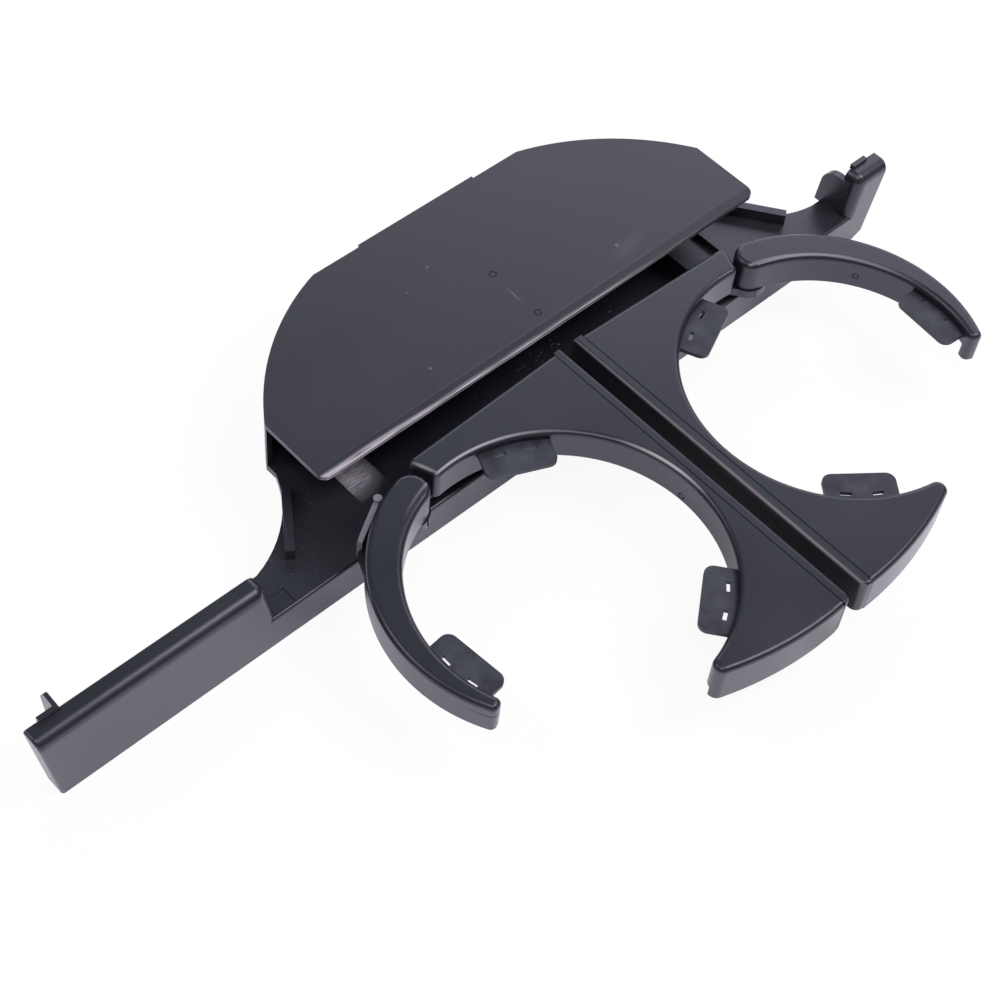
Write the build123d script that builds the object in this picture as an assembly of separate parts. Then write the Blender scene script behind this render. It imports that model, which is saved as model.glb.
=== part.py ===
from build123d import *
import math
import os

# Levels above the seat plane
floor_top = 11.0
skin = 2.0
plate_top = 25.0
plate_height = 12.0
cup_wall_height = 9.0
arm_height = 9.2
cover_gap = 0.4
cover_thick = 1.5
slip = 0.3

# The seat point lies this far behind the fascia front
seat_back = 40.0

# Fascia: a low rail between a long and a short cap with leaning ends
cap_top = 25.0
cap_depth = 5.5
cap_edge = 3.0
cap_corner = 2.2
rail_half = 102.0
rail_edge = 0.8
long_cap_lean = 3.2
long_cap_length = 62.9
long_cap_rake = 3.4
short_cap_lean = 1.9
short_cap_length = 11.5
short_cap_rake = 8.3
short_foot_run = 3.8
short_foot_rise = 1.6

# Tray and lid outline
body_half = 76.0
body_back = 67.1
corner_r = 73.4
side_cut = 11.8
back_cut = 3.2
wall = 1.7
wall_lap = 0.5
floor_lap = 1.0
flare_lead = 3.6
flare_run = 3.2
left_flare_depth = 12.4
left_flare_sag = 3.6
right_flare_depth = 10.3
right_flare_sag = 5.6
ledge_inset = 10.4
ledge_drop = 2.0
well_inset = 21.0
well_front = 12.6
cover_front = 15.0
cover_corner = 2.6
crease = 2.8
crease_drop = 0.3
tab_half = 20.0
tab_step = 0.7

# Guide ribs, cheek, pocket and clips
rib_height = 3.6
rib_width = 2.4
rib_out = 12.4
rib_front = 10.9
rib_in = 0.5
rib_back = 27.1
left_rib_shift = 1.2
right_rib_shift = -0.8
boss_depth = 5.5
cheek_gap = 0.6
cheek_depth = 12.6
cheek_lean = 1.0
cheek_drop = 2.6
cheek_round = 5.0
pocket_inset = 3.9
pocket_back = 3.4
pocket_width = 4.2
pocket_length = 4.8
pocket_depth = 0.3
clip_inset = 4.0
clip_width = 5.4
clip_rise = 0.8
clip_depth = 0.7
fin_reach = 5.5
fin_nose = 1.3
fin_rise = 0.7
fin_shoulder = 1.8
fin_depth = 9.0
fin_round = 1.2
fin_thick = 1.1

# Swing pivot, cup ring and plate
pivot = (7.6, 4.75)
pivot_r = 1.5
pivot_low = 1.0
pivot_cover = 3.0
seam = 5.15
waist = 2.25
bridge = 9.8
rear_y = 9.6
cup_r = 40.0
front_r = 94.2
mouth = 8.1
hinge_reach = 9.0
hinge_angle = 78.7
ring_corner_angle = 81.3
end_hollow = 0.7
plate_corner = 1.8
plate_tip = 2.4
plate_wall = 2.0
plate_edge = 1.4
hub_r = 3.6
leaf_r = 5.2
leaf_lap = 4.0
leaf_turn = 3.0

# Trim strip
gap_half = 2.3
strip_nose = 2.4
strip_top_edge = 0.9
strip_foot_edge = 0.8
groove = 0.25
groove_depth = 2.0

# Arm
pin_offset = 3.14
pin_angle = 72.3
pin_r = 1.25
pin_cover = 1.5
arm_end_r = 4.7
arm_overlap = 1.0
arm_swell = 4.1
arm_shift = (0.9, 4.9)
tip_angle = -23.8
tip_block = 5.5
arm_tip = 1.6
arm_edge = 1.5
arm_wall = 1.5
eye_drop = 5.0
running = 0.05

# Flange outside the arm with its stop wall and knob, as bearings and rises from the outer arc
flange_thick = 1.5
flange_points = ((71.6, -2.2), (66.3, 1.2), (49.0, 1.8), (46.6, 1.5), (37.2, -1.1), (23.9, -1.3))
flange_root = 3.0
knob_place = (65.2, 0.65)
knob_r = 1.1
knob_rise = 0.6
stop_place = (48.2, 1.3)
stop_wall = 1.4
stop_height = 5.8

# Rubber flaps and the windows under them
flap_thick = 1.2
flap_drop = 2.4
flap_reach = 8.6
flap_half_angle = 14.5
flap_side = 1.0
flap_corner = 2.5
flap_root = 1.2
flap_slot = (2.9, 1.0)
flap_slot_inset = 2.2
flap_slot_angle = 6.2
window_margin = 0.8
rear_flap_angle = 114.0
front_flap_angle = -128.0
arm_flap_angle = -5.0

# Springs
wire = 0.4
coil_gap = 0.3
pitch = 1.1
turns = 2

nodes = {}


def at(centre, radius, angle):
    a = math.radians(angle)
    return (centre[0] + radius * math.cos(a), centre[1] + radius * math.sin(a))


def bearing(start, end):
    return math.degrees(math.atan2(end[1] - start[1], end[0] - start[0]))


def solid(face, low, high):
    return extrude(Pos(0, 0, low) * face, amount=high - low, dir=(0, 0, 1))


def post(centre, radius, low, high):
    return solid(Pos(*centre) * Circle(radius), low, high)


def flat(points):
    return make_face(Polyline(*points, close=True))


def bar(start, end, width):
    middle = ((start[0] + end[0]) / 2, (start[1] + end[1]) / 2)
    return Pos(*middle) * Rot(0, 0, bearing(start, end)) * Rectangle(math.dist(start, end), width)


def bowed(start, end, sag):
    """Arc between two points, bowed to the right of the way from start to end."""
    middle = ((start[0] + end[0]) / 2, (start[1] + end[1]) / 2)
    return ThreePointArc(start, at(middle, sag, bearing(start, end) - 90), end)


def side_plane(x):
    """Plane across the width, drawn with depth and height."""
    return Plane(origin=(x, 0, 0), x_dir=(0, 1, 0), z_dir=(1, 0, 0))


def both(name, right):
    nodes["right_" + name] = right
    nodes["left_" + name] = mirror(right, about=Plane.YZ)


# Places that follow from the sizes
long_cap_inner = rail_half + long_cap_lean
long_cap_end = long_cap_inner + long_cap_length
long_cap_foot = long_cap_end - long_cap_rake
short_cap_inner = rail_half + short_cap_lean
short_cap_end = short_cap_inner + short_cap_length
short_cap_foot = short_cap_end - short_cap_rake
corner = (body_half - corner_r + side_cut, body_back - corner_r + back_cut)
side_end = corner[1] + math.sqrt(corner_r ** 2 - (corner_r - side_cut) ** 2)
wall_start = side_end - wall_lap
flare_start = side_end - flare_lead
ledge_half = body_half - ledge_inset
well_half = body_half - well_inset
cover_low = plate_top + cover_gap
lid_top = cover_low + cover_thick
plate_low = plate_top - plate_height
arm_low = plate_top - arm_height
flap_top = plate_top - flap_drop
cup = (seam + waist + cup_r, rear_y - bridge - cup_r)
hinge_corner = at(cup, cup_r + hinge_reach, hinge_angle)
ring_corner = at(cup, cup_r, ring_corner_angle)
pin = at(cup, cup_r + pin_offset, pin_angle)
arm_in_r = cup_r - arm_overlap
arm_out = (cup[0] + arm_shift[0], cup[1] + arm_shift[1])
arm_out_r = cup_r + arm_swell
flap_in_r = cup_r - flap_reach
flap_width = 2 * (math.tan(math.radians(flap_half_angle)) * cup_r - flap_side)


def body_outline(inset, front):
    """Outline of the tray body from a straight front edge to its curved back."""
    r = corner_r - inset
    back = body_back - inset
    half = body_half - inset
    x_back = corner[0] + math.sqrt(r * r - (back - corner[1]) ** 2)
    y_side = corner[1] + math.sqrt(r * r - (half - corner[0]) ** 2)
    mid_angle = (bearing(corner, (x_back, back)) + bearing(corner, (half, y_side))) / 2
    mid = at(corner, r, mid_angle)
    edges = Line((-half, front), (half, front))
    edges += Line((half, front), (half, y_side))
    edges += ThreePointArc((half, y_side), mid, (x_back, back))
    edges += Line((x_back, back), (-x_back, back))
    edges += ThreePointArc((-x_back, back), (-mid[0], mid[1]), (-half, y_side))
    edges += Line((-half, y_side), (-half, front))
    return make_face(edges)


def plate_outline():
    """Plan of a holder plate: a front disc cut by the gap side, rear edge, hinge end and cup ring."""
    inside = at(cup, cup_r - plate_wall, ring_corner_angle)
    mouth_x = cup[0] + mouth
    edges = Line((seam, rear_y), hinge_corner)
    edges += bowed(hinge_corner, inside, end_hollow)
    far = -2 * front_r
    edges += Polyline(inside, (mouth_x, cup[1]), (mouth_x, far), (seam, far), (seam, rear_y))
    plan = make_face(edges) & Pos(*pivot) * Circle(front_r)
    plan -= Pos(*cup) * Circle(cup_r)
    outer = plan.vertices().filter_by(lambda v: v.X > seam + waist)
    plan = fillet(outer.filter_by(lambda v: v.Y > cup[1]), plate_corner)
    outer = plan.vertices().filter_by(lambda v: v.X > cup[0] - cup_r / 2 and v.Y < cup[1])
    return fillet(outer, plate_tip)


def arm_outline(inset, end_angle):
    """Plan of an arm: inner arc on the cup, wider outer arc and a round hinge end."""
    end_r = arm_end_r - inset
    in_r = arm_in_r + inset
    out_r = arm_out_r - inset
    hinge_in = at(pin, end_r, bearing(pin, cup))
    hinge_out = at(pin, end_r, bearing(arm_out, pin))
    hinge_back = at(pin, end_r, bearing(cup, pin) + 90)
    a = math.radians(end_angle)
    lean = (cup[0] - arm_out[0]) * math.cos(a) + (cup[1] - arm_out[1]) * math.sin(a)
    reach = math.sqrt(lean ** 2 + out_r ** 2 - math.dist(cup, arm_out) ** 2) - lean
    tip_in = at(cup, in_r, end_angle)
    tip_out = at(cup, reach, end_angle)
    middle = (end_angle + pin_angle) / 2
    edges = ThreePointArc(hinge_in, at(cup, in_r, middle), tip_in)
    edges += Line(tip_in, tip_out)
    edges += ThreePointArc(tip_out, at(arm_out, out_r, middle), hinge_out)
    edges += ThreePointArc(hinge_out, hinge_back, hinge_in)
    return make_face(edges)


def coil(radius):
    path = Helix(pitch=pitch, height=pitch * turns, radius=radius)
    section = Plane(origin=path @ 0, z_dir=path % 0) * RegularPolygon(wire, 4)
    return sweep(section, path=path, is_frenet=True)


# Tray: fascia with a long and a short cap on one low rail
front_outline = [
    (-long_cap_foot, 0), (short_cap_foot, 0), (short_cap_foot + short_foot_run, short_foot_rise),
    (short_cap_end, cap_top), (short_cap_inner, cap_top), (rail_half, floor_top),
    (-rail_half, floor_top), (-long_cap_inner, cap_top), (-long_cap_end, cap_top),
]
hollow_outline = [
    (-long_cap_foot + skin, -1), (short_cap_foot - skin, -1),
    (short_cap_foot + short_foot_run - skin, short_foot_rise + skin / 2),
    (short_cap_end - skin, cap_top - skin), (short_cap_inner + skin, cap_top - skin),
    (rail_half + skin, floor_top - skin), (-rail_half - skin, floor_top - skin),
    (-long_cap_inner - skin, cap_top - skin), (-long_cap_end + skin, cap_top - skin),
]
fascia = extrude(Plane.XZ * flat(front_outline), amount=cap_depth, dir=(0, 1, 0))
cap_ends = fascia.edges().filter_by(Axis.Y).filter_by_position(Axis.Z, cap_top - 0.01, cap_top + 0.01)
fascia = fillet(cap_ends.sort_by(Axis.X)[1:3], cap_corner)
front_edges = fascia.edges().filter_by_position(Axis.Y, -0.01, 0.01)
fascia = fillet(front_edges.filter_by_position(Axis.Z, cap_top - 0.01, cap_top + 0.01), cap_edge)
front_edges = fascia.edges().filter_by_position(Axis.Y, -0.01, 0.01)
fascia = fillet(front_edges.filter_by_position(Axis.Z, floor_top - 0.01, floor_top + 0.01), rail_edge)
fascia -= Pos(0, skin, 0) * extrude(Plane.XZ * flat(hollow_outline), amount=cap_depth, dir=(0, 1, 0))

# Side floors flare out to the caps, a little deeper on the left
def side_floor(depth, sag):
    outer = rail_half + cheek_gap + skin
    foot = (rail_half - flare_run, depth)
    edges = Polyline((0, wall_start), (0, floor_lap), (outer, floor_lap), (outer, depth), foot)
    edges += bowed((body_half, flare_start), foot, sag)
    edges += Polyline((body_half, flare_start), (body_half, wall_start), (0, wall_start))
    return make_face(edges)


floor_plan = side_floor(right_flare_depth, right_flare_sag) + body_outline(0, flare_start)
floor_plan += mirror(side_floor(left_flare_depth, left_flare_sag), about=Plane.YZ)
tray = fascia + solid(floor_plan, floor_top - skin, floor_top)

# Stepped well down to the seat plane
shell_plan = body_outline(0, well_front - skin)
inner_plan = body_outline(wall + slip, well_front)
steps = ((ledge_half, floor_top - ledge_drop), (well_half, skin))
for half, depth in steps:
    tray += solid(shell_plan & Rectangle(2 * (half + skin), 2 * body_back), depth - skin, floor_top)
for half, depth in steps:
    tray -= solid(inner_plan & Rectangle(2 * half, 2 * body_back), depth, floor_top + 1)

# Back wall under the lid
rim_plan = body_outline(0, wall_start) - body_outline(wall, wall_start - 1)
tray += solid(rim_plan, floor_top - skin, cover_low)

# Guide ribs and pivot bosses on both sides
for side, shift in ((-1, left_rib_shift), (1, right_rib_shift)):
    rib_x = body_half + shift
    rib = bar((side * (rib_x + rib_out), rib_front), (side * (rib_x + rib_in), rib_back), rib_width)
    tray += solid(rib, floor_top - skin / 2, floor_top + rib_height)
    foot = (side * pivot[0], pivot[1])
    tray += post(foot, pivot_r + skin, floor_top - boss_depth, plate_low - slip)
    tray -= post(foot, pivot_r + running, 0, plate_top)

# Cheek beside the short cap
cheek_top = cap_top - cheek_drop
cheek = flat([(cap_edge, floor_top - skin / 2), (cheek_depth, floor_top - skin / 2),
              (cheek_depth - cheek_lean, cheek_top), (cap_edge, cheek_top)])
cheek = fillet(cheek.vertices().group_by(Axis.Y)[-1].sort_by(Axis.X)[-1], cheek_round)
tray += extrude(side_plane(rail_half + cheek_gap) * cheek, amount=skin, dir=(1, 0, 0))

# Shallow pocket in the rail beside the long cap
pocket = Pos(pocket_inset - rail_half, pocket_back) * Rectangle(pocket_width, pocket_length)
tray -= solid(pocket, floor_top - pocket_depth, floor_top + 1)

# Fascia clips on the top back edges of the caps, and a guide fin beside the long one
clip_low = cap_top - clip_depth
clip_top = cap_top + clip_rise
clip_end = long_cap_end - clip_inset
clip_plan = Rectangle(clip_width, 2 * clip_depth)
for middle in (clip_width / 2 - clip_end, short_cap_end - clip_inset - clip_width / 2):
    tray += solid(Pos(middle, cap_depth) * clip_plan, clip_low, clip_top)
fin_end = cap_depth + fin_reach
fin_low = clip_top - fin_depth
fin_tail = fin_end - fin_nose
fin = flat([(skin / 2, clip_low), (cap_depth, clip_low), (cap_depth, clip_top),
            (fin_tail, clip_top + fin_rise), (fin_end, clip_top - fin_shoulder),
            (fin_tail, fin_low), (skin / 2, fin_low)])
fin = fillet(fin.vertices().sort_by(Axis.Y)[-1], fin_round)
tray += extrude(side_plane(clip_width - clip_end - fin_thick) * fin, amount=fin_thick, dir=(1, 0, 0))
nodes["tray"] = tray

# Lid with a sloping front lip and a back tab
lid = solid(body_outline(0, cover_front), cover_low, lid_top)
lid = fillet(lid.edges().filter_by(Axis.Z).group_by(Axis.Y)[0], cover_corner)
crease_y = cover_front + crease
lip_top = lid_top - crease_drop
slope = flat([(cover_front - 1, lid_top + 1), (crease_y, lid_top + 1), (crease_y, lid_top),
              (cover_front, lip_top), (cover_front - 1, lip_top)])
lid -= extrude(side_plane(-body_half) * slope, amount=2 * body_half, dir=(1, 0, 0))
lid += solid(Pos(0, body_back - 1) * Rectangle(2 * tab_half, 2 * (1 + tab_step)), cover_low, lid_top)
nodes["top_cover"] = lid

# Holder plate: quarter-turn crescent with a hollow underside
plate = solid(plate_outline(), plate_low, plate_top)
top_edges = plate.edges().group_by(Axis.Z)[-1]
plate = fillet(top_edges.filter_by(lambda e: e.center().X > seam + 0.1), plate_edge)
inner_x = ring_corner[0] - plate_wall
inner_y = hinge_corner[1] - plate_wall
inner_seam = seam + plate_wall
hollow = flat([(inner_seam, inner_y), (inner_x, inner_y), (inner_x, -front_r), (inner_seam, -front_r)])
hollow = (hollow & Pos(*pivot) * Circle(front_r - plate_wall)) - Pos(*cup) * Circle(cup_r + plate_wall)
hollow -= Pos(*pivot) * Circle(hub_r)
plate -= solid(hollow, plate_low, plate_top - skin)
arch = Pos(*cup) * Circle(cup_r + plate_wall + slip) & Pos(*pivot) * Circle(front_r - plate_wall)
plate -= solid(arch, plate_low, plate_top - cup_wall_height)
leaf_plan = Pos(*pin) * Circle(leaf_r)
leaf_root = at(cup, cup_r + leaf_lap, ring_corner_angle + leaf_turn)
leaf_plan += flat([(hinge_corner[0] - leaf_lap, inner_y), (pin[0], pin[1] + leaf_r),
                   (pin[0] - leaf_r / 3, pin[1] - leaf_r), leaf_root])
leaf_top = arm_low - slip
plate += solid(leaf_plan, plate_low, leaf_top)
plate -= post(pin, pin_r + running, plate_low, leaf_top)
plate -= post(pivot, pivot_r, plate_low, plate_top - pivot_cover)

# Arm: tapered crescent on its own hinge pin
arm_plan = arm_outline(0, tip_angle)
arm_plan = fillet(arm_plan.vertices().sort_by(Axis.Y)[:2], arm_tip)
arm = solid(arm_plan, arm_low, plate_top)
arm = fillet(arm.edges().group_by(Axis.Z)[-1], arm_edge)
arm_hollow = arm_outline(arm_wall, tip_angle + tip_block)
arm -= solid(arm_hollow, arm_low, plate_top - skin) - post(pin, arm_end_r, plate_top - eye_drop, plate_top)
flange_edge = [at(arm_out, arm_out_r + rise, angle) for angle, rise in flange_points]
flange_edge.append(at(arm_out, arm_out_r - flange_root, flange_points[1][0]))
arm += solid(flat(flange_edge) - arm_plan, arm_low, arm_low + flange_thick)
knob = at(arm_out, arm_out_r + knob_place[1], knob_place[0])
stop_end = at(arm_out, arm_out_r + stop_place[1], stop_place[0])
arm += solid(bar(knob, stop_end, stop_wall), arm_low, arm_low + stop_height)
arm += post(knob, knob_r, arm_low, arm_low + stop_height + knob_rise)
arm -= post(pin, pin_r, arm_low, plate_top - pin_cover)


def flap(angle):
    """Rubber tab with two slots, its root let into the ring wall."""
    depth = cup_r + flap_root - flap_in_r
    tab = Pos(flap_in_r + depth / 2, 0) * Rectangle(depth, flap_width)
    tab = fillet(tab.vertices().sort_by(Axis.X)[:2], flap_corner)
    for turn in (-flap_slot_angle, flap_slot_angle):
        place = at((0, 0), cup_r - flap_slot_inset, turn)
        tab -= Pos(*place) * Rot(0, 0, turn + 90) * Rectangle(*flap_slot)
    return solid(Pos(*cup) * Rot(0, 0, angle) * tab, flap_top - flap_thick, flap_top)


def window(angle, inner_r, thick, low):
    """Opening in a ring wall under a flap."""
    opening = Circle(inner_r + thick + slip) - Circle(inner_r - slip)
    opening &= Pos(inner_r, 0) * Rectangle(inner_r, flap_width + 2 * window_margin)
    return solid(Pos(*cup) * Rot(0, 0, angle) * opening, low, flap_top - flap_thick)


rear_flap = flap(rear_flap_angle)
front_flap = flap(front_flap_angle)
arm_flap = flap(arm_flap_angle)
plate -= rear_flap + front_flap
arm -= arm_flap
arm -= window(arm_flap_angle, arm_in_r, arm_wall, arm_low)

# Trim strip along the gap, with a fine groove at its seam
strip_plan = flat([(gap_half, rear_y), (gap_half, -front_r), (seam, -front_r), (seam, rear_y)])
strip_plan &= Pos(*pivot) * Circle(front_r)
nose = strip_plan.vertices().group_by(Axis.X)[0].sort_by(Axis.Y)[0]
strip_plan = fillet(nose, min(strip_nose, 0.85 * (seam - gap_half)))
strip = solid(strip_plan, plate_low, plate_top)
gap_side = strip.edges().filter_by(lambda e: e.center().X < seam - groove and e.center().Y < rear_y - groove)
strip = fillet(gap_side.group_by(Axis.Z)[-1], strip_top_edge)
gap_side = strip.edges().filter_by(lambda e: e.center().X < seam - groove and e.center().Y < rear_y - groove)
strip = fillet(gap_side.group_by(Axis.Z)[0], strip_foot_edge)
strip_front = pivot[1] - front_r
for back, low in ((rear_y, plate_top - groove_depth), (strip_front + groove_depth, plate_low)):
    front = strip_front - 1
    slit = flat([(seam - groove, back), (seam - groove, front), (seam, front), (seam, back)])
    strip -= solid(slit, low, plate_top)

# Pins and springs
swing_pin = post(pivot, pivot_r, pivot_low, plate_top - pivot_cover)
arm_pin = post(pin, pin_r, plate_low, plate_top - pin_cover)
swing_coil = Pos(*pivot, pivot_low + wire) * coil(pivot_r + coil_gap + wire)
arm_coil = Pos(*pin, arm_low + coil_gap + wire) * coil(pin_r + coil_gap + wire)

both("holder_plate", plate)
both("trim_strip", strip)
both("arm", arm)
both("rear_flap", rear_flap)
both("front_flap", front_flap)
both("arm_flap", arm_flap)
both("pivot_pin", swing_pin)
both("swing_spring", swing_coil)
both("arm_pin", arm_pin)
both("arm_spring", arm_coil)

os.makedirs("parts", exist_ok=True)
for name, shape in nodes.items():
    export_step(Pos(0, -seat_back, 0) * shape, "parts/" + name + ".step")
    print(name, round(shape.volume), len(shape.solids()), shape.is_valid)
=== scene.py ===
# %% [markdown]
# # A swing-out cup holder for a car dashboard
# The holder is a moulded tray with a wide fascia, a thin lid, and two plates that swing out from under the
# lid. Each plate carries half of a cup ring, and a curved arm on a hinge pin closes the ring. The solids are
# loaded as they were engineered, so this lesson is about finishes, small marks, light and the camera.

# %% Load the solids
import bpy
import math
from mathutils import Matrix, Vector


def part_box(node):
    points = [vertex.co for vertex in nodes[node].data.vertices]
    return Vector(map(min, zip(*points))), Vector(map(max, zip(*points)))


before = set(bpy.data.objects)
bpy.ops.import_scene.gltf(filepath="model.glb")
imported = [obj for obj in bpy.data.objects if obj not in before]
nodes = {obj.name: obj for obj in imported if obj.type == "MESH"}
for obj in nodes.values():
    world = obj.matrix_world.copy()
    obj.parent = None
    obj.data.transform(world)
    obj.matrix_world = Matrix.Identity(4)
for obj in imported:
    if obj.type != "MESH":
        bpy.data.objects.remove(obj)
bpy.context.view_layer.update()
MM = 0.001  # the frame is in metres, and the sizes below are in millimetres

# %% [markdown]
# ## Two small tools for materials
# Colours are picked as sRGB hex values, the way a paint chart or a photograph gives them, but shaders work in
# linear light, so one function converts them. The other adds a node, sets its values and links its inputs.

# %% Colour and node helpers
def linear(hex_colour):
    values = [int(hex_colour[i:i + 2], 16) / 255 for i in (1, 3, 5)]
    return [v / 12.92 if v <= 0.04045 else ((v + 0.055) / 1.055) ** 2.4 for v in values] + [1.0]


def add(tree, kind, links=None, values=None, **settings):
    """Adds a node, sets its properties and input values, and links its inputs to other nodes' outputs."""
    node = tree.nodes.new("ShaderNode" + kind)
    for name, value in settings.items():
        setattr(node, name, value)
    for name, value in (values or {}).items():
        node.inputs[name].default_value = value
    for name, output in (links or {}).items():
        tree.links.new(output, node.inputs[name])
    return node


def new_material(name):
    """Empty material with a Principled shader wired to its output."""
    material = bpy.data.materials.new(name)
    material.use_nodes = True
    tree = material.node_tree
    tree.nodes.clear()
    shader = add(tree, "BsdfPrincipled")
    add(tree, "OutputMaterial", links={"Surface": shader.outputs["BSDF"]})
    return material, tree, shader


print("charcoal in linear light:", [round(v, 4) for v in linear("#1d1d20")[:3]])

# %% [markdown]
# ## Moulded ABS with a fine grain
# The tray, plates and arms are black ABS from a tool with a spark-eroded face. That gives a satin surface:
# soft highlights on the rounded edges and a faint sparkle of grain. The real grain is about 0.1 mm and too
# fine to show here, so it is drawn at 0.35 mm. A slow change of gloss over some 30 mm stands for handling.
# The grain could be modelled in the mesh, but bump from a noise gives the same sparkle at no cost in faces.

# %% Moulded plastic
def moulded_plastic(name, colour, pale, rough, grain_mm, grain_depth_mm, patch_mm=30, index=1.56):
    material, tree, shader = new_material(name)
    place = add(tree, "TexCoord").outputs["Object"]
    grain = add(tree, "TexNoise", {"Vector": place}, {"Scale": 1 / (grain_mm * MM), "Detail": 3.0})
    patches = add(tree, "TexNoise", {"Vector": place}, {"Scale": 1 / (patch_mm * MM), "Detail": 4.0})
    tint = add(tree, "ValToRGB", {"Fac": patches.outputs["Fac"]})
    tint.color_ramp.elements[0].color = linear(colour)
    tint.color_ramp.elements[0].position = 0.35
    tint.color_ramp.elements[1].color = linear(pale)
    tint.color_ramp.elements[1].position = 0.75
    gloss = add(tree, "MapRange", {"Value": patches.outputs["Fac"]},
                {"From Min": 0.3, "From Max": 0.7, "To Min": rough - 0.02, "To Max": rough + 0.03})
    bump = add(tree, "Bump", {"Height": grain.outputs["Fac"]},
               {"Distance": grain_depth_mm * MM, "Strength": 0.5})
    tree.links.new(tint.outputs["Color"], shader.inputs["Base Color"])
    tree.links.new(gloss.outputs["Result"], shader.inputs["Roughness"])
    tree.links.new(bump.outputs["Normal"], shader.inputs["Normal"])
    shader.inputs["IOR"].default_value = index
    shader.inputs["Specular Tint"].default_value = linear("#eeedff")
    return material


satin_abs = moulded_plastic("satin_moulded_abs", "#181b20", "#1e2128",
                            rough=0.33, grain_mm=0.35, grain_depth_mm=0.018)
grained_abs = moulded_plastic("grained_moulded_abs", "#1a1d22", "#212429",
                              rough=0.33, grain_mm=0.4, grain_depth_mm=0.028)
print("plastics:", satin_abs.name, grained_abs.name)

# %% [markdown]
# ## Lid sheet and rubber
# The lid is pressed from smooth ABS sheet, so it is a little duller and evener than the mouldings. The flaps
# are matt thermoplastic rubber: a lower index and a rougher face give them hardly any highlight, and blotches
# of about 5 mm show where the rubber flowed. Both are dark plastics too, so the same function makes them.

# %% Sheet and rubber
lid_abs = moulded_plastic("pressed_abs_sheet", "#171a1d", "#1d2025",
                          rough=0.40, grain_mm=0.5, grain_depth_mm=0.02)
rubber = moulded_plastic("matt_thermoplastic_rubber", "#17191e", "#343840", rough=0.5, grain_mm=0.3,
                         grain_depth_mm=0.02, patch_mm=5, index=1.49)
print("sheet and rubber:", lid_abs.name, rubber.name)

# %% [markdown]
# ## Tools for marks and wear
# A used moulding is never blank: tools leave ring marks, and hands and cups rub it pale. Painted image maps are
# the usual way, but a few ovals need no image. The Mapping node moves the origin to the oval's middle and
# divides by its half sizes, so the length of the result is 1 on the oval's edge. A spot fills the oval and a
# ring follows its edge. Paint then mixes a colour and a roughness over what the shader has.

# %% Spots, rings and paint
def oval(tree, place, middle_mm, half_mm, turn_deg=0):
    """Distance from an oval's middle, 1 on its edge."""
    local = add(tree, "Mapping", {"Vector": place},
                {"Location": [v * MM for v in middle_mm], "Scale": [v * MM for v in half_mm],
                 "Rotation": (0, 0, math.radians(turn_deg))}, vector_type="TEXTURE")
    return add(tree, "VectorMath", {0: local.outputs["Vector"]}, operation="LENGTH").outputs["Value"]


def spot(tree, place, middle_mm, half_mm, turn_deg=0, solid=0.5):
    """Mask of an oval: full out to the solid share of its size, gone at its edge."""
    away = oval(tree, place, middle_mm, half_mm, turn_deg)
    return add(tree, "MapRange", {"Value": away},
               {"From Min": solid, "From Max": 1.0, "To Min": 1.0, "To Max": 0.0}).outputs["Result"]


def ring(tree, place, middle_mm, half_mm, line):
    """Mask of a soft line along an oval's edge; its half width is a share of the oval's size."""
    away = oval(tree, place, middle_mm, half_mm)
    off_edge = add(tree, "Math", {0: away}, {1: 1.0}, operation="SUBTRACT")
    off_edge = add(tree, "Math", {0: off_edge.outputs[0]}, operation="ABSOLUTE")
    return add(tree, "MapRange", {"Value": off_edge.outputs[0]},
               {"From Min": 0.3 * line, "From Max": line, "To Min": 1.0, "To Max": 0.0}).outputs["Result"]


def paint(tree, masks, colour, rough, strength=1.0):
    """Mixes a mark's colour and roughness over what the shader already has, where all its masks meet."""
    mask = add(tree, "Math", {0: masks[0]}, {1: strength}, operation="MULTIPLY").outputs[0]
    for other in masks[1:]:
        mask = add(tree, "Math", {0: mask, 1: other}, operation="MULTIPLY").outputs[0]
    shader = tree.nodes["Principled BSDF"]
    under = shader.inputs["Base Color"].links[0].from_socket
    tone = add(tree, "Mix", {0: mask, 6: under}, {7: linear(colour)}, data_type="RGBA")
    tree.links.new(tone.outputs[2], shader.inputs["Base Color"])
    under = shader.inputs["Roughness"].links[0].from_socket
    gloss = add(tree, "Mix", {0: mask, 2: under}, {3: rough}, data_type="FLOAT")
    tree.links.new(gloss.outputs[0], shader.inputs["Roughness"])


print("mark tools: oval, spot, ring, paint")

# %% [markdown]
# ### Lid
# The lid has two small rings left by the ejector pins of its tool, a fine scratch, a few pale specks and a
# smear. They lie on the lid's top, whose height is read from the frame.

# %% Lid marks
lid_low, lid_high = (Vector(v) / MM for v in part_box("top_cover"))
tree = lid_abs.node_tree
place = add(tree, "TexCoord").outputs["Object"]
ejector_r = 0.9
for y in (-2.0, -19.0):
    ejector = ring(tree, place, (0.3, y, lid_high.z), (ejector_r,) * 3, line=0.35)
    paint(tree, [ejector], "#060607", rough=1.0, strength=0.85)
scratch = spot(tree, place, (-0.3, -10.8, lid_high.z), (0.22, 4.0, 1.0), -2, solid=0.2)
paint(tree, [scratch], "#82837c", rough=0.5, strength=0.45)
specks = ((-11.3, 10.5, 0.5), (-21.2, 7.3, 0.4), (-33.3, -15.4, 0.6), (32.7, -15.1, 0.7))
for x, y, size in specks:
    speck = spot(tree, place, (x, y, lid_high.z), (size, size, 1.0), solid=0.3)
    paint(tree, [speck], "#7d7c80", rough=0.6, strength=0.5)
smear = spot(tree, place, (35, -17, lid_high.z), (8, 3, 2), 15, solid=0.2)
paint(tree, [smear], "#4a484e", rough=0.45, strength=0.25)
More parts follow.
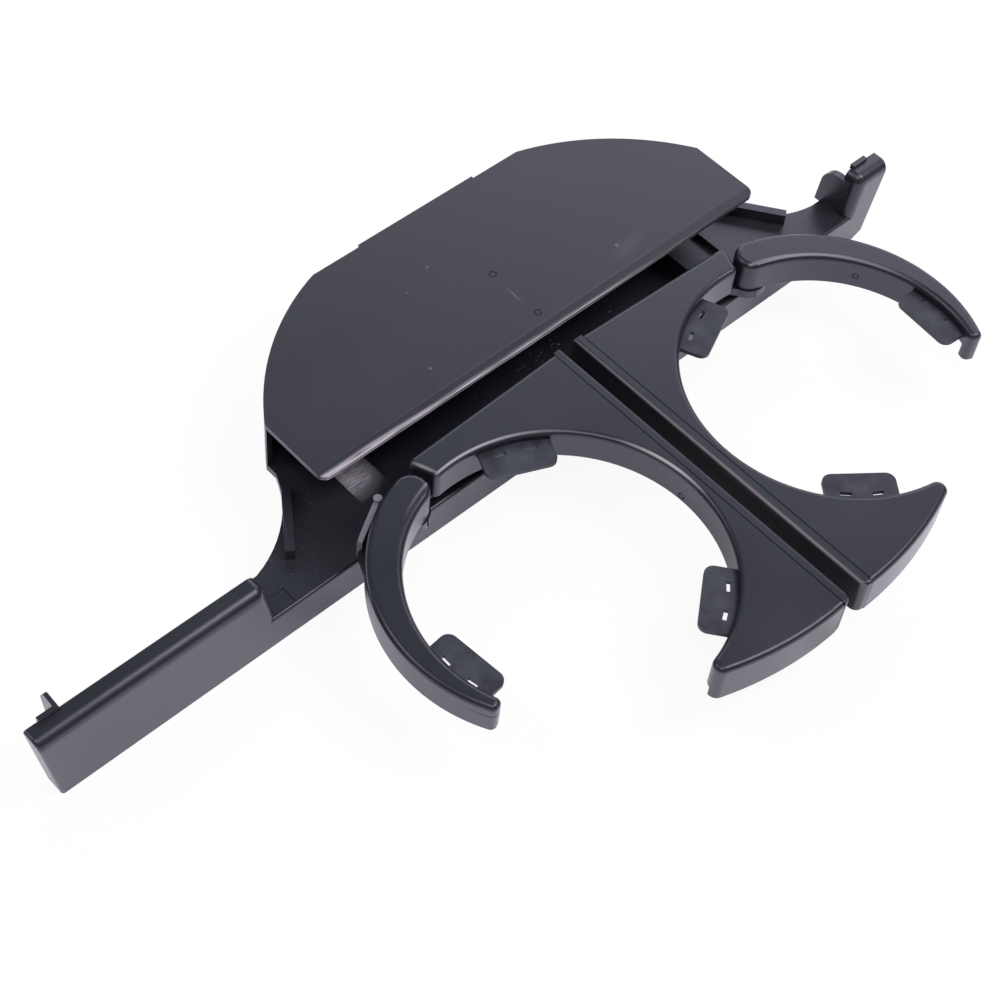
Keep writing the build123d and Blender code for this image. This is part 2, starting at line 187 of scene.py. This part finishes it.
print("lid top at", round(lid_high.z, 2), "mm, front lip at", round(lid_low.y, 2), "mm")

# %% [markdown]
# ### Lip highlight and ledge sheen
# The lid's front lip carries a painted highlight, broken into fine pale streaks where hands and cups rub it,
# and the crease behind the lip is a faint painted highlight line. The ledge beside it, which the swinging plate
# scuffs, carries a painted pale sheen of light with the same kind of streaks. A noise that is stretched along X
# gives the streaks, inside long flat spots.

# %% Lip highlight, ledge sheen and streaks
def streaks(tree, place, along_mm, across_mm, full, none):
    """Mask of fine lines along X: full and gone at two levels of a stretched noise."""
    local = add(tree, "Mapping", {"Vector": place},
                {"Scale": (along_mm * MM, across_mm * MM, across_mm * MM)}, vector_type="TEXTURE")
    lines = add(tree, "TexNoise", {"Vector": local.outputs["Vector"]}, {"Scale": 1.0, "Detail": 3.0})
    return add(tree, "MapRange", {"Value": lines.outputs["Fac"]},
               {"From Min": full, "From Max": none, "To Min": 1.0, "To Max": 0.0}).outputs["Result"]


# Painted highlight along the lid's front lip, broken into streaks of wear from hands and cups.
lip_streaks = streaks(tree, place, along_mm=12, across_mm=0.3, full=0.62, none=0.3)
lip_top = spot(tree, place, (-70, lid_low.y, lid_high.z), (135, 1.2, 3))
paint(tree, [lip_top, lip_streaks], "#7d7781", rough=0.5)
lip_front = spot(tree, place, (-70, lid_low.y, lid_high.z - 1), (135, 0.4, 3), solid=0.45)
paint(tree, [lip_front, lip_streaks], "#d0c9d1", rough=0.5)
left_lip = spot(tree, place, (-70, lid_low.y, lid_high.z - 1), (36, 1.8, 3))
paint(tree, [left_lip, lip_streaks], "#b3adb7", rough=0.55)
# Faint painted highlight along the crease behind the lip.
crease_line = spot(tree, place, (0, lid_low.y + 2.8, lid_high.z), (95, 0.2, 2))
paint(tree, [crease_line], "#5c5b62", rough=0.5, strength=0.25)

tree = grained_abs.node_tree
place = add(tree, "TexCoord").outputs["Object"]
# Painted pale sheen of light on the ledge, broken into streaks where the swinging plate scuffs it.
ledge_middle = (-62.5, -14, 8.3)
ledge_sheen_and_scuff = spot(tree, place, ledge_middle, (12, 14, 2), solid=0.3)
paint(tree, [ledge_sheen_and_scuff], "#9b99a6", rough=0.5, strength=0.8)
ledge_sheen_and_scuff_heart = spot(tree, place, ledge_middle, (9.6, 11.2, 1.6))
ledge_streaks = streaks(tree, place, along_mm=4, across_mm=0.25, full=0.66, none=0.45)
paint(tree, [ledge_sheen_and_scuff_heart, ledge_streaks], "#f1ebf8", rough=0.5)
print("streaks on:", lid_abs.name, grained_abs.name)

# %% [markdown]
# ### Dust in the well
# Dust gathers in the well by the pivots. The peaks of a fine noise give specks of uneven size, and a coarser
# noise keeps them in drifts instead of an even sprinkle. Real dust is finer than 0.1 mm; these specks are
# drawn at about 0.7 mm so that they show.

# %% Dust
dust = []
for size_mm, detail, full, none in ((0.7, 2.0, 0.74, 0.66), (6, 1.0, 0.62, 0.45)):
    peaks = add(tree, "TexNoise", {"Vector": place}, {"Scale": 1 / (size_mm * MM), "Detail": detail})
    level = add(tree, "MapRange", {"Value": peaks.outputs["Fac"]},
                {"From Min": full, "From Max": none, "To Min": 1.0, "To Max": 0.0})
    dust.append(level.outputs["Result"])
near_pivots = spot(tree, place, (14, -16, 3), (34, 9, 12))
paint(tree, [near_pivots, *dust], "#c2c1c4", rough=0.8)
left_floor = spot(tree, place, (-84, -25, 11), (18, 16, 4), solid=0.6)
paint(tree, [left_floor, *dust], "#86868c", rough=0.8, strength=0.3)
print("dust layers:", len(dust))

# %% [markdown]
# ### Tool marks on the plates and arms
# The ring walls carry small round ejector marks, and the left arm fine parting lines where two halves of the
# tool met. Its stop wall carries a painted highlight along the top. The two sides are mirror images in shape,
# but each mark is only on the piece that shows it. A parting line is a spot as thin as the line and as wide as
# its run.

# %% Ejector marks and parting lines
tree = satin_abs.node_tree
place = add(tree, "TexCoord").outputs["Object"]
wall_ejector_r = 0.8
for middle in ((-7.4, -79.5, 17.5), (80.5, -59.5, 19.5)):
    ejector = ring(tree, place, middle, (wall_ejector_r,) * 3, line=0.4)
    paint(tree, [ejector], "#060607", rough=1.0, strength=0.9)
parting_lines = ((-85.8, -97.1, 21.4), (-56, -50, 22.4), (-56, -50, 20.6))
for middle in parting_lines:
    parting = spot(tree, place, middle, (11, 11, 0.25), solid=0.3)
    paint(tree, [parting], "#060607", rough=1.0, strength=0.8)
# Painted highlight along the top of the stop wall.
stop_wall_highlight = spot(tree, place, (-73, -38.4, 22.4), (13, 1.7, 1.2), 31.9, solid=0.85)
paint(tree, [stop_wall_highlight], "#6f727a", rough=0.5, strength=0.8)
print("parting lines:", len(parting_lines))

# %% [markdown]
# ### Painted highlights on the rims
# The rims of the rings and the end of the left plate show pale lines. Each line is a painted highlight,
# standing in for the highlight on an edge that is softer than the modelled one, and partly the rub of cups and
# the arm.
# The rim is a ring mark of the cup's own radius, tall enough to be a cylinder, and a flat spot at the plates'
# top keeps it to the stretch that shows the line.

# %% Painted rim highlights
cup_x, cup_y = 47.4, -80.2  # middle of the right cup ring
rim_z = 24.85
tall = 10000  # so tall that height no longer counts in the distance
rim_line = 0.5
rims = ((-cup_x, 40.8, (-42, -42), 27, "#8e8a93", 0.8), (-cup_x, 40.7, (-7, -73), 14, "#aaa5aa", 0.9),
        (cup_x, 39.9, (70, -50), 33, "#8b8790", 0.7))
# Each rim line is a painted highlight, partly the rub of cups and the arm.
for x, rim_r, (near_x, near_y), reach, colour, strength in rims:
    rim = ring(tree, place, (x, cup_y, 0), (rim_r, rim_r, tall), rim_line / rim_r)
    stretch = spot(tree, place, (near_x, near_y, rim_z), (reach, reach, 0.8), solid=0.25)
    paint(tree, [rim, stretch], colour, rough=0.36, strength=strength)
# Painted highlight along the end of the left plate.
plate_end_highlight = spot(tree, place, (-53.8, -36.5, rim_z), (4.6, 0.6, 0.8), -67.7, solid=0.3)
paint(tree, [plate_end_highlight], "#878288", rough=0.38, strength=0.75)
print("rubbed rims:", len(rims))

# %% [markdown]
# ### Trim strips
# The outer faces of the two strips line the slot, and become the fascia when the plates are shut. They are
# painted near-black and matt, a painted shade that keeps the slot dark. The right strip's shoulder shows a soft
# pale line, part polish and part highlight, which is painted too.

# %% Strip faces and shoulder
shoulder_in = 0.35
for name in ("left_trim_strip", "right_trim_strip"):
    strip_low, strip_high = (Vector(v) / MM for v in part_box(name))
    strip_y = (strip_low.y + strip_high.y) / 2
    face_x = strip_high.x if name == "left_trim_strip" else strip_low.x
    face_half = (0.3, 400, strip_high.z - strip_low.z)
    # Painted shade: the slot faces are painted near-black and matt.
    slot_face_shade = spot(tree, place, (face_x, strip_y, strip_low.z), face_half, solid=0.75)
    paint(tree, [slot_face_shade], "#090a0c", rough=0.8, strength=0.9)
    print(name, "face at x =", round(face_x, 2), "mm")
# Painted highlight along the right strip's shoulder, partly polish.
shoulder_middle = (strip_low.x + shoulder_in, strip_y - 20, strip_high.z - shoulder_in)
shoulder = spot(tree, place, shoulder_middle, (0.7, 90, 0.7), solid=0.2)
paint(tree, [shoulder], "#827b81", rough=0.4, strength=0.8)

# %% [markdown]
# ### Rubber flaps
# Each flap has a paler round print in its middle, where the rubber was pulled into its slot in the ring. The
# three places are given for the right side, and the absolute value of X repeats them on the left.

# %% Flap prints
tree = rubber.node_tree
place = add(tree, "TexCoord").outputs["Object"]
split = add(tree, "SeparateXYZ", {"Vector": place})
folded = add(tree, "Math", {0: split.outputs["X"]}, operation="ABSOLUTE").outputs[0]
mirrored = add(tree, "CombineXYZ", {"X": folded, "Y": split.outputs["Y"], "Z": split.outputs["Z"]}).outputs[0]
print_r, print_z, print_half = 36.6, 22.6, 3.0
flap_angles = (114, -128, -5)
for angle in flap_angles:
    a = math.radians(angle)
    middle = (cup_x + print_r * math.cos(a), cup_y + print_r * math.sin(a), print_z)
    flap_print = spot(tree, mirrored, middle, (print_half,) * 3)
    paint(tree, [flap_print], "#3a3c43", rough=0.42, strength=0.3)
print("flap prints:", 2 * len(flap_angles))

# %% [markdown]
# ## Steel pins and springs
# The pins are zinc-plated steel and the coils are drawn spring wire. Both are metals, so the colour tints the
# reflection, and fine streaks from turning and drawing break up the gloss. Little of them shows, so a noise in
# the roughness is enough and no bump is spent on them.

# %% Steel
def steel(name, colour, rough, streak_mm):
    material, tree, shader = new_material(name)
    place = add(tree, "TexCoord").outputs["Object"]
    lines = add(tree, "TexNoise", {"Vector": place}, {"Scale": 1 / (streak_mm * MM), "Detail": 2.0})
    gloss = add(tree, "MapRange", {"Value": lines.outputs["Fac"]},
                {"To Min": rough - 0.08, "To Max": rough + 0.08})
    tree.links.new(gloss.outputs["Result"], shader.inputs["Roughness"])
    shader.inputs["Base Color"].default_value = linear(colour)
    shader.inputs["Metallic"].default_value = 1.0
    return material


plated_steel = steel("zinc_plated_steel", "#b9bcc0", 0.32, 0.6)
spring_wire = steel("drawn_spring_wire", "#8d9094", 0.28, 0.3)
print("metals:", plated_steel.name, spring_wire.name)

# %% [markdown]
# ## Dress the solids
# Each solid keeps its engineered mesh and gets the finish of the real piece. The last word of a solid's name
# says what kind of piece it is, so one table serves both sides of the holder.

# %% Dress the nodes
finishes = {"tray": (grained_abs, "grained_moulding"), "cover": (lid_abs, "lid_sheet"),
            "plate": (satin_abs, "satin_moulding"), "strip": (satin_abs, "satin_moulding"),
            "arm": (satin_abs, "satin_moulding"), "flap": (rubber, "flap_rubber"),
            "pin": (plated_steel, "pin_steel"), "spring": (spring_wire, "spring_steel")}
for name, node in nodes.items():
    material, slot = finishes[name.split("_")[-1]]
    node.data.materials.clear()
    node.data.materials.append(material)
print("dressed", len(nodes), "nodes")

# %% [markdown]
# ## Floor
# The product lies on white card. The card is a plain diffuse white that also shows as white to the camera and
# in reflections, so the dark plastic mirrors a bright surround as it does in a studio. Brighter lamps would
# whiten the card too, but they would bleach the plastic. Under the slot between the plates no light reaches
# the card, so a painted shade takes its glow out of reflections there.

# %% Floor
bpy.ops.object.select_all(action="DESELECT")
bpy.ops.mesh.primitive_plane_add(size=40, location=(0, 0, 0))
floor = bpy.context.object
floor.name = "studio_floor"
card, tree, shader = new_material("white_card")
shader.inputs["Base Color"].default_value = linear("#f4f4f4")
shader.inputs["Roughness"].default_value = 0.9
white_share, mirrored_white = 0.93, 0.67
path = add(tree, "LightPath")
share = add(tree, "Math", {0: path.outputs["Is Camera Ray"]}, {1: white_share}, operation="MULTIPLY")
white = add(tree, "Emission", values={"Color": (1, 1, 1, 1), "Strength": 1.0})
mix = add(tree, "MixShader", {0: share.outputs[0], 1: shader.outputs["BSDF"], 2: white.outputs["Emission"]})
place = add(tree, "TexCoord").outputs["Object"]
# Painted shade: the card's glow in reflections fades out under the slot.
slot_shade_on_card = spot(tree, place, (0, -80, 0), (17, 65, 50), solid=0.8)
lit = add(tree, "MapRange", {"Value": slot_shade_on_card}, {"To Min": mirrored_white, "To Max": 0.0})
shine = add(tree, "Math", {0: path.outputs["Is Glossy Ray"], 1: lit.outputs["Result"]}, operation="MULTIPLY")
glow = add(tree, "Emission", {"Strength": shine.outputs[0]}, {"Color": linear("#e9ebff")})
both = add(tree, "AddShader", {0: mix.outputs[0], 1: glow.outputs["Emission"]})
tree.links.new(both.outputs[0], tree.nodes["Material Output"].inputs["Surface"])
floor.data.materials.append(card)
print("floor:", floor.name)

# %% [markdown]
# ## World and lamps
# Black satin plastic shows what it mirrors more than its own colour, so each lamp is a large soft panel that
# is placed for one set of faces. The panel at the back lies in the mirror of the flat tops. The smaller ones
# in front, to the left and behind the camera draw the highlights along the rounded edges. A point lamp would
# give hard dots there. A faint even sky fills the rest.

# %% World and lamps
world = bpy.data.worlds.new("studio")
bpy.context.scene.world = world
world.use_nodes = True
sky = world.node_tree.nodes["Background"]
sky.inputs["Color"].default_value = linear("#f4f5ff")
sky.inputs["Strength"].default_value = 0.22


def softbox(name, turn_deg, rise_deg, reach, size, radiance, colour):
    """Soft lamp square on to the object, at a bearing and an elevation, as bright as its radiance says."""
    turn, rise = math.radians(turn_deg), math.radians(rise_deg)
    way = Vector((math.cos(rise) * math.cos(turn), math.cos(rise) * math.sin(turn), math.sin(rise)))
    lamp = bpy.data.lights.new(name, "AREA")
    lamp.shape = "RECTANGLE"
    lamp.size, lamp.size_y = size
    lamp.energy = math.pi * size[0] * size[1] * radiance
    lamp.color = linear(colour)[:3]
    box = bpy.data.objects.new(name, lamp)
    bpy.context.scene.collection.objects.link(box)
    box.location = way * reach
    box.rotation_euler = way.to_track_quat("Z", "Y").to_euler()
    print(name, "at", [round(v, 2) for v in box.location], "m")


softbox("back_softbox", turn_deg=36, rise_deg=33, reach=1.5, size=(1.6, 0.75),
        radiance=2.6, colour="#f4f5ff")
softbox("front_softbox", turn_deg=-46, rise_deg=58, reach=1.3, size=(0.55, 0.55),
        radiance=10.0, colour="#fffafa")
softbox("left_softbox", turn_deg=142, rise_deg=50, reach=1.4, size=(0.5, 0.6),
        radiance=4.5, colour="#fff8f8")
softbox("camera_softbox", turn_deg=-142, rise_deg=62, reach=1.6, size=(0.5, 0.5),
        radiance=9.0, colour="#fffafa")

# %% [markdown]
# ## Camera
# The picture is taken from the front left, looking down steeply, with the camera rolled a few degrees. A
# tracking constraint can't roll the view, so the three axes of the camera are worked out and set as a matrix.

# %% Camera
camera_turn, camera_rise, camera_roll = -48.30, 53.50, 6.74
camera_reach = 477.08 * MM
aim = Vector((-46.57, -55.41, 25.0)) * MM
turn, rise, roll = (math.radians(v) for v in (camera_turn, camera_rise, camera_roll))
back = Vector((math.sin(turn) * math.cos(rise), -math.cos(turn) * math.cos(rise), math.sin(rise)))
right = Vector((math.cos(turn), math.sin(turn), 0))
up = back.cross(right)
right, up = (math.cos(roll) * right + math.sin(roll) * up, math.cos(roll) * up - math.sin(roll) * right)
lens = bpy.data.cameras.new("camera")
lens.lens, lens.sensor_width = 72, 36
camera = bpy.data.objects.new("camera", lens)
bpy.context.scene.collection.objects.link(camera)
axes = Matrix((right, up, back)).transposed().to_4x4()
camera.matrix_world = Matrix.Translation(aim + back * camera_reach) @ axes
bpy.context.scene.camera = camera
bpy.context.scene.view_settings.view_transform = "Standard"
print("camera at", [round(v, 3) for v in camera.matrix_world.translation], "m")
